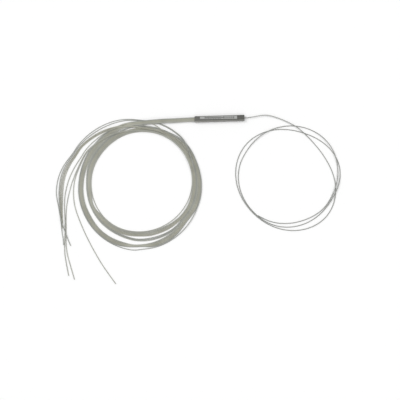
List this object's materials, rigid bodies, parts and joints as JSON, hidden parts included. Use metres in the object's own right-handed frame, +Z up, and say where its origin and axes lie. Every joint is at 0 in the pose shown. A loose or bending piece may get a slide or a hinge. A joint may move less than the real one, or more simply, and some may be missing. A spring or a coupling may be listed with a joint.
{
  "type": "fibre splitter",
  "caption": "Slim steel tube splitter for buffered optical fibre, a coiled cord on the input side and a wound bundle with loose bare ends on the output side",
  "frame": {"origin": "middle of the underside of the steel tube, on the surface it lies on", "axes": "+X along the tube towards the input cord, +Y across the tube away from the coils, +Z up from the surface"},
  "size_m": [0.3398, 0.1992, 0.0041],
  "materials": {
    "tube": "fine brushed",
    "film": "matt printed film",
    "plug": "cast, matt",
    "soft_adhesive": "soft, matt",
    "adhesive": "clear, cured",
    "chip": "polished",
    "glass": "polished",
    "cord_jacket": "satin, slightly clear"
  },
  "bodies": {
    "root": {"chip_bed": "soft_adhesive", "chip_cover": "glass", "chip_glue_film": "adhesive", "chip_substrate": "chip", "input_bond": "adhesive", "input_coil": "cord_jacket", "input_end_plug": "plug", "input_fibre": "glass", "input_groove_block": "glass", "input_groove_lid": "glass", "input_lead": "cord_jacket", "label_film": "film", "output_bond": "adhesive", "output_coil": "cord_jacket", "output_end_plug": "plug", "output_fibre_1": "glass", "output_fibre_2": "glass", "output_fibre_3": "glass", "output_fibre_4": "glass", "output_fibre_5": "glass", "output_fibre_6": "glass", "output_fibre_7": "glass", "output_fibre_8": "glass", "output_groove_block": "glass", "output_groove_lid": "glass", "output_lead_1": "cord_jacket", "output_lead_2": "cord_jacket", "output_lead_3": "cord_jacket", "output_lead_4": "cord_jacket", "output_lead_5": "cord_jacket", "output_lead_6": "cord_jacket", "output_lead_7": "cord_jacket", "output_lead_8": "cord_jacket", "output_tail_1": "cord_jacket", "output_tail_2": "cord_jacket", "output_tail_3": "cord_jacket", "output_tail_4": "cord_jacket", "output_tail_5": "cord_jacket", "output_tail_6": "cord_jacket", "output_tail_7": "cord_jacket", "output_tail_8": "cord_jacket", "steel_tube": "tube", "waveguide_tree": "glass"}
  },
  "joints": []
}
